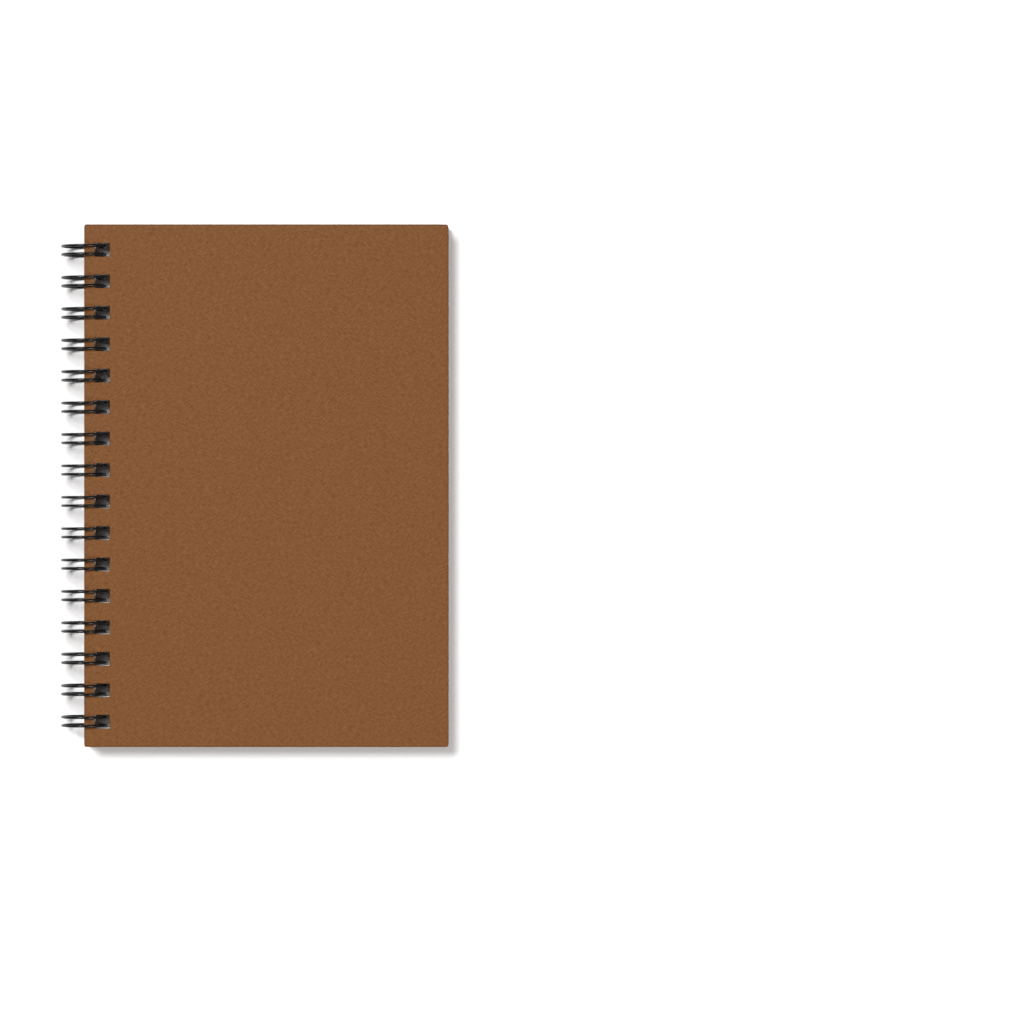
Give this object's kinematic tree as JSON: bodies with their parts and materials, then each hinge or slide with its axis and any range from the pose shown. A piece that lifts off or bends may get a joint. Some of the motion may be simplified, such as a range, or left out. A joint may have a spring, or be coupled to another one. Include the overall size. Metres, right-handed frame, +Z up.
{
  "type": "sketchbook",
  "caption": "Hard-cover ruled notebook with a leatherette finish, bound along its long edge by a closed twin-loop wire, so the covers and sheets turn about the wire.",
  "frame": {"origin": "middle of the closed book's footprint, at the height of the lowest point of the wire loops", "axes": "+X from the spine to the fore edge, +Y to the head of the book, +Z up out of the front cover, with the book lying closed on its back cover"},
  "size_m": [0.1568, 0.211, 0.0185],
  "materials": {
    "leatherette": "fine-creased satin leatherette, mid brown",
    "board": "raw grey-brown board",
    "lining": "matt dark charcoal paper",
    "paper": "uncoated white, with grey ruled lines",
    "wire": "gloss black nylon-coated steel"
  },
  "bodies": {
    "root": {"back_board": "board", "back_wrap": "leatherette", "back_lining": "lining", "twin_loop_wire": "wire", "rear_sheets_1": "paper", "rear_sheets_2": "paper", "rear_sheets_3": "paper", "rear_sheets_4": "paper", "rear_sheets_5": "paper", "rear_sheets_6": "paper"},
    "front_sheets": {"front_sheets_1": "paper", "front_sheets_2": "paper", "front_sheets_3": "paper", "front_sheets_4": "paper", "front_sheets_5": "paper", "front_sheets_6": "paper"},
    "front_cover": {"front_board": "board", "front_wrap": "leatherette", "front_lining": "lining"}
  },
  "joints": [
    {"name": "front_sheets_turn", "type": "hinge", "parent": "root", "child": "front_sheets", "pos_m": [-0.06918, 0, 0.00925], "axis": [0, -1, 0], "range_deg": [0, 180]},
    {"name": "front_cover_turn", "type": "hinge", "parent": "front_sheets", "child": "front_cover", "pos_m": [-0.06918, 0, 0.00925], "axis": [0, 1, 0], "range_deg": [-180, 0]}
  ]
}
